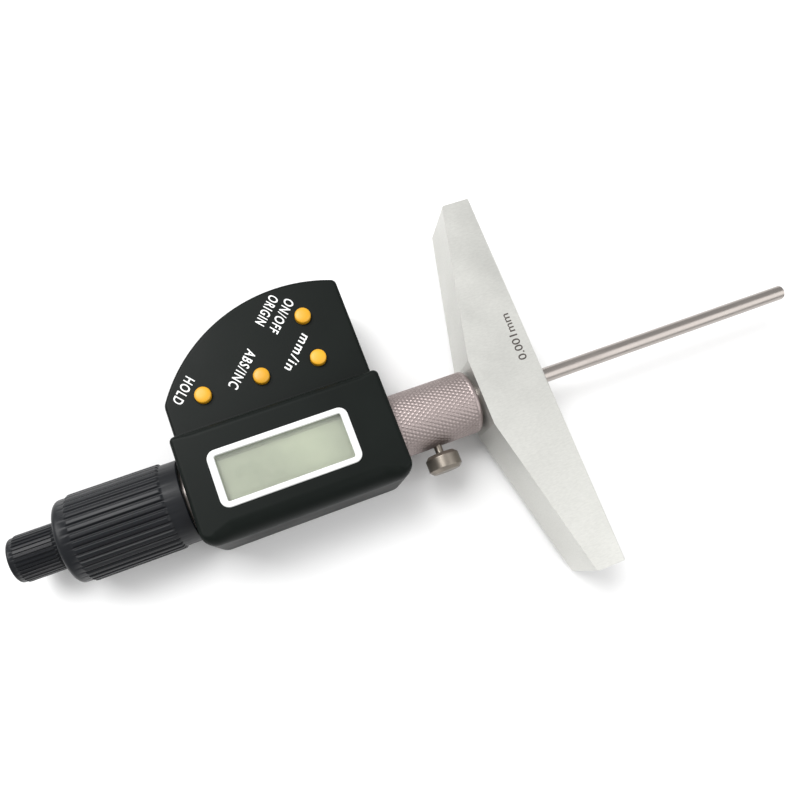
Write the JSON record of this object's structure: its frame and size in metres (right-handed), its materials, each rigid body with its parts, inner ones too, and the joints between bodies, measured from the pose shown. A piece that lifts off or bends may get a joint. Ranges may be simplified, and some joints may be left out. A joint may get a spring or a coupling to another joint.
{
  "type": "depth micrometer",
  "caption": "Digital depth micrometer: steel base bar with a long thin measuring rod, knurled sleeve with lock, black housing with display and key fin, ribbed thimble and ratchet knob.",
  "frame": {"origin": "centre of the base's measuring face, on the spindle axis", "axes": "+X along the spindle, the way the measuring rod reaches out of the base; +Y towards the key fin of the housing; +Z the way the display and keys face"},
  "size_m": [0.2137, 0.1014, 0.0241],
  "materials": {
    "satin_chrome": "satin",
    "knurled_steel": "satin",
    "bright_steel": "satin",
    "screw_steel": "satin",
    "cast_frame": "satin",
    "brass": "satin",
    "black_moulding": "satin",
    "black_grip": "satin",
    "white_moulding": "satin",
    "yellow_key": "satin",
    "clear_window": "gloss",
    "display_glass": "satin",
    "circuit_board": "satin",
    "grey_rubber": "matte",
    "copper_pattern": "satin"
  },
  "bodies": {
    "instrument_frame": {"base": "satin_chrome", "stem_tube": "bright_steel", "grip_sleeve": "knurled_steel", "frame_block": "cast_frame", "barrel": "bright_steel", "spindle_nut": "brass", "adjusting_nut": "screw_steel", "front_shell": "black_moulding", "rear_cover": "black_moulding", "fin_cover": "black_moulding", "cover_screws": "screw_steel", "display_bezel": "white_moulding", "display_window": "clear_window", "display_panel": "display_glass", "contact_strips": "grey_rubber", "main_board": "circuit_board", "board_link": "copper_pattern", "key_board": "circuit_board", "key_switches": "screw_steel", "key_mat": "grey_rubber", "battery": "bright_steel", "battery_contact": "brass", "encoder_stator": "copper_pattern"},
    "cap_body": {"battery_cap": "black_moulding"},
    "on_off_body": {"key_on_off": "yellow_key"},
    "unit_body": {"key_unit": "yellow_key"},
    "absolute_body": {"key_absolute": "yellow_key"},
    "hold_body": {"key_hold": "yellow_key"},
    "pad_body": {"lock_pad": "brass"},
    "lock_body": {"lock_screw": "screw_steel"},
    "rotor_body": {"encoder_rotor": "copper_pattern", "rotor_bush": "brass", "rotor_key": "bright_steel"},
    "spindle_body": {"spindle": "bright_steel", "thimble": "black_grip", "thimble_bushing": "brass", "measuring_rod": "bright_steel", "rod_nuts": "screw_steel", "rod_clamp_cap": "bright_steel", "drive_disc": "bright_steel", "ratchet_screw": "screw_steel"},
    "knob_body": {"ratchet_knob": "black_grip", "driven_disc": "bright_steel", "spring_washer": "bright_steel"}
  },
  "joints": [
    {"name": "thimble_spin", "type": "hinge", "parent": "instrument_frame", "child": "rotor_body", "pos_m": [-0.07, 0, 0], "axis": [1, 0, 0], "range_deg": [-18002, 542]},
    {"name": "spindle_feed", "type": "slide", "parent": "rotor_body", "child": "spindle_body", "axis": [1, 0, 0], "range_m": [-0.025, 0.00075]},
    {"name": "ratchet_spin", "type": "hinge", "parent": "spindle_body", "child": "knob_body", "pos_m": [-0.13, 0, 0], "axis": [1, 0, 0], "continuous": true},
    {"name": "lock_pad_slide", "type": "slide", "parent": "instrument_frame", "child": "pad_body", "axis": [0, -1, 0], "range_m": [-0.00008, 0.00045]},
    {"name": "lock_screw_turn", "type": "hinge", "parent": "pad_body", "child": "lock_body", "pos_m": [-0.0311, -0.0126, 0], "axis": [0, -1, 0], "range_deg": [-64.5, 360.5]},
    {"name": "battery_cap_turn", "type": "hinge", "parent": "instrument_frame", "child": "cap_body", "pos_m": [-0.07, 0.031, -0.0035], "axis": [0, 0, -1], "range_deg": [-45, 0]},
    {"name": "on_off_press", "type": "slide", "parent": "instrument_frame", "child": "on_off_body", "axis": [0, 0, -1], "range_m": [0, 0.0004], "stiffness_N_per_m": 300},
    {"name": "unit_press", "type": "slide", "parent": "instrument_frame", "child": "unit_body", "axis": [0, 0, -1], "range_m": [0, 0.0004], "stiffness_N_per_m": 300},
    {"name": "absolute_press", "type": "slide", "parent": "instrument_frame", "child": "absolute_body", "axis": [0, 0, -1], "range_m": [0, 0.0004], "stiffness_N_per_m": 300},
    {"name": "hold_press", "type": "slide", "parent": "instrument_frame", "child": "hold_body", "axis": [0, 0, -1], "range_m": [0, 0.0004], "stiffness_N_per_m": 300}
  ],
  "couplings": [
    {"joint": "thimble_spin", "follows": "spindle_feed", "rad_per_m": 12566},
    {"joint": "lock_screw_turn", "follows": "lock_pad_slide", "rad_per_m": 13963}
  ]
}
